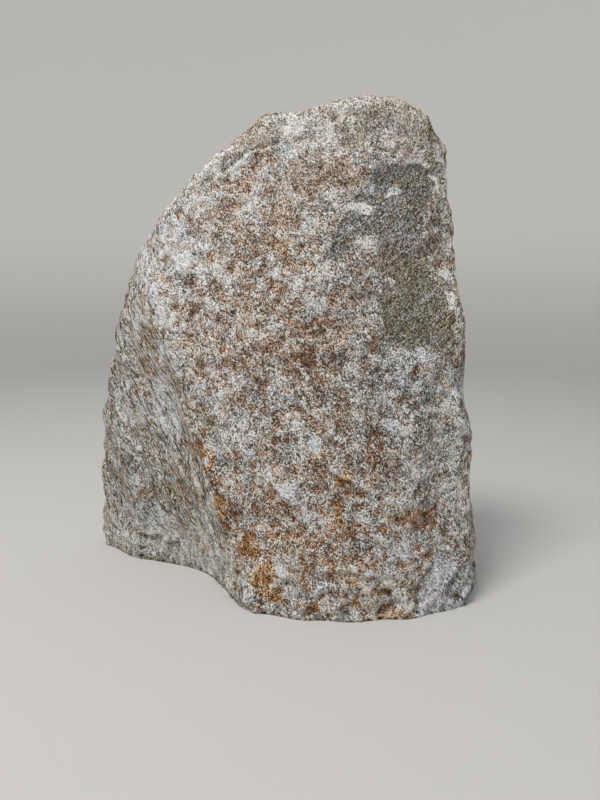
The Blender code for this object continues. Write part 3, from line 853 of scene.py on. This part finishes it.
def stone_material():
    """Granular stone: grains and thin layers in the foliation, stained by rust, with an olive patch."""
    graph = Graph("granular_stone")
    place = graph.node("ShaderNodeTexCoord", {}).outputs["Object"]
    turned = graph.turned(place, foliation_frame().to_euler())
    layers = graph.shaken(turned, graph.shake(place, 0.0450), 0.0080)
    grains = graph.scaled(layers, 1.2, 0.8, 1.5)
    rust, orange, pale, dark, olive, bluish, streaky, haze, pit = (graph.zone(name) for name in ZONES)

    # Clots of a few grains, which rust and light follow, and lumps with ragged edges
    shake = graph.shake(place, 0.0020)
    lump = graph.cells(graph.shaken(grains, shake, 0.0060), 0.0032)
    stain = graph.noise(grains, 0.0046)
    cluster = graph.noise(grains, 0.0135)
    drift = graph.noise(layers, 0.0300, roughness=0.50)
    rusty = graph.weighted(0.0, (stain, 0.5, 4.4), (cluster, 0.5, 4.3), (lump, 0.5, 0.8),
                           (rust, 0.53, 1.7), (pale, 0.0, -0.8), (pit, 0.2, 0.6))
    ochre = graph.weighted(0.0, (stain, 0.5, 3.6), (cluster, 0.5, 2.6),
                           (orange, 0.62, 3.0), (pit, 0.2, 0.4))
    white = graph.weighted(0.0, (stain, 0.5, -1.5), (cluster, 0.5, -4.5), (drift, 0.5, 2.5),
                           (pale, 0.25, 1.2), (pit, 0.2, -0.5), (haze, 0.0, -0.8))
    rusted = graph.level(rusty, -0.65, 1.10)
    ochred = graph.level(ochre, -0.20, 0.35)
    whiten = graph.level(white, 0.10, 1.00)
    # Where the stone is hazy, an even tint takes the place of rusty clots.
    rusted = graph.weighted(rusted, (haze, 0.0, graph.weighted(0.05, (rusted, 0.0, -0.60))))

    # Grains of three sizes. Where the layers are cut across they show as threads and short dark dashes.
    fine = graph.noise(grains, 0.0026, detail=3.0, roughness=0.80)
    crystal = graph.cells(graph.shaken(grains, shake, 0.0018), 0.0016)
    dust = graph.cells(grains, 0.0008)
    thread = graph.level(graph.cells(graph.scaled(layers, 1.2, 0.45, 2.0), 0.0011), 0.05, 0.50)
    clot = graph.noise(graph.vector("ADD", grains, (0.3, 0.1, 0.2)), 0.0050)
    blotch = graph.noise(layers, 0.0120)
    sheet = graph.noise(graph.scaled(layers, 1.3, 0.7, 7.0), 0.0075)
    band = graph.noise(graph.scaled(layers, 1.2, 0.7, 5.0), 0.0200, roughness=0.50)
    dash = graph.times(graph.level(sheet, 0.54, 0.59), streaky)
    rusted = graph.math("MAXIMUM", rusted, graph.times(dash, 0.28))

    # How much of the grains and of the clots is left where the stone is streaky, white or hazy
    whole = graph.weighted(1.0, (streaky, 0.0, -0.50), (whiten, 0.0, -0.12), (haze, 0.0, -0.50))
    whole = graph.math("MAXIMUM", whole, 0.15)
    even = graph.weighted(1.0, (streaky, 0.0, -0.60), (haze, 0.0, -0.35))
    even = graph.math("MAXIMUM", even, 0.15)
    dusty = graph.weighted(1.0, (streaky, 0.0, -0.30), (haze, 0.0, -0.20))
    # The tone of a few grains together, by which rust clings, and then the tone grain by grain
    broad = graph.weighted(STONE_TONE,
                           (fine, 0.5, graph.times(whole, 0.24)), (lump, 0.5, graph.times(whole, 0.14)),
                           (clot, 0.5, graph.times(even, 0.95)), (blotch, 0.5, graph.times(even, 1.10)),
                           (drift, 0.5, 0.60), (band, 0.5, graph.times(streaky, 0.26)),
                           (rusted, 0.4, -0.17), (ochred, 0.0, -0.13), (whiten, 0.2, 0.14),
                           (pale, 0.0, 0.24), (dark, 0.0, -0.36), (pit, 0.2, -0.08))
    tone = graph.weighted(broad, (fine, 0.5, graph.times(whole, 0.06)),
                          (crystal, 0.5, graph.times(whole, 0.18)),
                          (dust, 0.5, graph.times(dusty, 1.22)),
                          (thread, 0.71, graph.times(streaky, 0.40)),
                          (dash, 0.15, -0.52), (haze, 0.0, 0.03))

    cool = graph.level(graph.noise(graph.scaled(layers, 1.0, 0.6, 2.2), 0.0110), 0.50, 0.60)
    cool = graph.weighted(0.0, (cool, 0.0, 0.68), (whiten, 0.0, 0.20), (haze, 0.0, -0.60))
    cool = graph.math("MAXIMUM", cool, bluish)
    buff = graph.level(graph.noise(graph.scaled(layers, 1.0, 0.7, 2.0), 0.0160), 0.46, 0.60)
    buff = graph.times(buff, graph.weighted(0.25, (streaky, 0.0, 0.70), (haze, 0.0, 0.55)))
    buff = graph.weighted(buff, (streaky, 0.0, 0.22))
    colour = graph.mixed(buff, graph.ramp(tone, GREY_GRAINS), graph.ramp(tone, BUFF_GRAINS))
    colour = graph.mixed(cool, colour, graph.ramp(tone, COOL_GRAINS))

    # Rust leaves the whitest grains barer, and turns to ochre towards the foot and where it is streaky.
    clinging = graph.weighted(1.0, (graph.level(broad, 0.66, 0.90), 0.0, -0.60))
    ochrous = graph.math("MAXIMUM", graph.times(orange, 0.90), graph.times(streaky, 0.40))
    ochre_grains = graph.ramp(tone, OCHRE_GRAINS)
    tint = graph.mixed(ochrous, graph.ramp(tone, RUST_GRAINS), ochre_grains)
    colour = graph.mixed(graph.times(rusted, clinging), colour, tint)
    colour = graph.mixed(ochred, colour, ochre_grains)

    # The olive patch is a finer layer, combed up to the right, with bluish and brown streaks.
    slanting = graph.turned(place, (0.0, math.radians(PATCH_SLANT), 0.0))
    thin = graph.noise(graph.scaled(slanting, 0.6, 1.0, 2.8), 0.0034)
    strand = graph.cells(graph.scaled(slanting, 0.38, 1.0, 1.8), 0.0010)
    streak = graph.noise(graph.scaled(slanting, 1.0, 1.5, 4.0), 0.0220, detail=3.0)
    film = graph.weighted(PATCH_TONE, (thin, 0.5, 0.35), (strand, 0.5, 0.64), (dust, 0.5, 1.22),
                          (streak, 0.5, 0.70), (blotch, 0.5, 0.20), (bluish, 0.3, 0.06))
    slaty = graph.level(graph.weighted(streak, (bluish, 0.5, 0.20)), 0.44, 0.56)
    green = graph.mixed(slaty, graph.ramp(film, OLIVE_GRAINS), graph.ramp(film, SLATE_GRAINS))
    brown = graph.times(graph.level(graph.noise(grains, 0.0055, roughness=0.50), 0.50, 0.64), 0.30)
    green = graph.mixed(brown, green, graph.ramp(film, OCHRE_GRAINS))
    # Flecks of the stone below show through it, most of all where it is bluish.
    fleck = graph.noise(graph.scaled(slanting, 1.0, 2.0, 3.5), 0.0130, detail=3.0, roughness=0.65)
    fleck = graph.times(graph.level(fleck, 0.57, 0.66), graph.weighted(0.15, (bluish, 0.0, 0.60)))
    covered = graph.weighted(0.0, (olive, 0.5, 1.0), (stain, 0.5, 1.2), (blotch, 0.5, 1.2),
                             (fleck, 0.0, -0.9))
    covered = graph.level(covered, -0.12, 0.16)
    graph.put(graph.shader.inputs["Base Color"], graph.mixed(covered, colour, green))

    glint = graph.level(crystal, 0.93, 0.97)
    rough = graph.weighted(STONE_ROUGHNESS, (tone, 0.5, 0.15), (glint, 0.0, -0.30))
    graph.put(graph.shader.inputs["Roughness"], rough)
    graph.put(graph.shader.inputs["Specular IOR Level"], 0.35)

    grit = graph.noise(place, 0.0016, roughness=0.70)
    coarse = graph.weighted(1.0, (covered, 0.0, -0.70), (streaky, 0.0, -0.40), (haze, 0.0, -0.25))
    height = graph.weighted(0.0, (clot, 0.5, coarse), (fine, 0.5, graph.times(coarse, 0.20)),
                            (thin, 0.5, graph.times(covered, 0.50)),
                            (sheet, 0.5, graph.times(streaky, 0.50)),
                            (grit, 0.5, graph.weighted(0.15, (coarse, 0.0, 0.25))),
                            (crystal, 0.5, 0.12), (dash, 0.2, -0.30), (rusted, 0.4, -0.20))
    bump = graph.node("ShaderNodeBump", {"Height": height, "Distance": BUMP_HEIGHT, "Strength": 1.0})
    graph.put(graph.shader.inputs["Normal"], bump.outputs["Normal"])
    return graph.material


def floor_material():
    """Matt and pale, and paler up the wall, where less light falls."""
    graph = Graph("pale_floor")
    place = graph.node("ShaderNodeTexCoord", {}).outputs["Object"]
    height = graph.node("ShaderNodeSeparateXYZ", {"Vector": place}).outputs["Z"]
    colour = graph.mixed(graph.level(height, 0.0, PALE_FROM), FLOOR_COLOUR, WALL_COLOUR)
    graph.put(graph.shader.inputs["Base Color"], colour)
    graph.put(graph.shader.inputs["Roughness"], 0.8)
    return graph.material


def stage():
    """A pale round floor that curves up all round into a pale wall."""
    profile = [(FLOOR_MIDDLE * FLOOR_RADIUS, 0.0)]
    for step in range(CURVE_STEPS + 1):
        turn = math.radians(90 * step / CURVE_STEPS)
        profile.append((FLOOR_RADIUS + FLOOR_CURVE * math.sin(turn), FLOOR_CURVE * (1 - math.cos(turn))))
    profile.append((FLOOR_RADIUS + FLOOR_CURVE, WALL_HEIGHT))
    places = []
    for radius, high in profile:
        for side in range(FLOOR_SIDES):
            turn = 2 * math.pi * side / FLOOR_SIDES
            places.append((radius * math.cos(turn), radius * math.sin(turn), high))
    faces = [tuple(range(FLOOR_SIDES))]
    for ring in range(len(profile) - 1):
        inner, outer = ring * FLOOR_SIDES, (ring + 1) * FLOOR_SIDES
        for side in range(FLOOR_SIDES):
            beside = (side + 1) % FLOOR_SIDES
            faces.append((inner + side, outer + side, outer + beside, inner + beside))
    mesh = bpy.data.meshes.new("floor")
    mesh.from_pydata(places, [], faces)
    mesh.shade_smooth()
    mesh.materials.append(floor_material())
    floor = bpy.data.objects.new("floor", mesh)
    bpy.context.scene.collection.objects.link(floor)


def lights():
    scene = bpy.context.scene
    scene.view_settings.view_transform = "Standard"
    world = bpy.data.worlds.new("soft_room")
    world.use_nodes = True
    background = world.node_tree.nodes["Background"]
    background.inputs["Color"].default_value = ROOM_COLOUR
    background.inputs["Strength"].default_value = ROOM_STRENGTH
    scene.world = world

    data = bpy.data.lights.new("overhead", "AREA")
    data.shape = "RECTANGLE"
    data.size, data.size_y = LAMP_SIZE
    data.energy = LAMP_POWER
    data.color = LAMP_COLOUR
    lamp = bpy.data.objects.new("overhead", data)
    lamp.location = LAMP_PLACE
    lamp.rotation_euler = (Vector(LAMP_TARGET) - lamp.location).to_track_quat("-Z", "Y").to_euler()
    scene.collection.objects.link(lamp)


def camera():
    data = bpy.data.cameras.new("camera")
    data.sensor_width = CAMERA_SENSOR
    data.lens = CAMERA_LENS
    made = bpy.data.objects.new("camera", data)
    made.location = CAMERA_PLACE
    made.rotation_euler = (math.radians(90 - CAMERA_DOWN), 0, 0)
    bpy.context.scene.collection.objects.link(made)
    bpy.context.scene.camera = made


camera()
lights()
stage()
stone_surface()
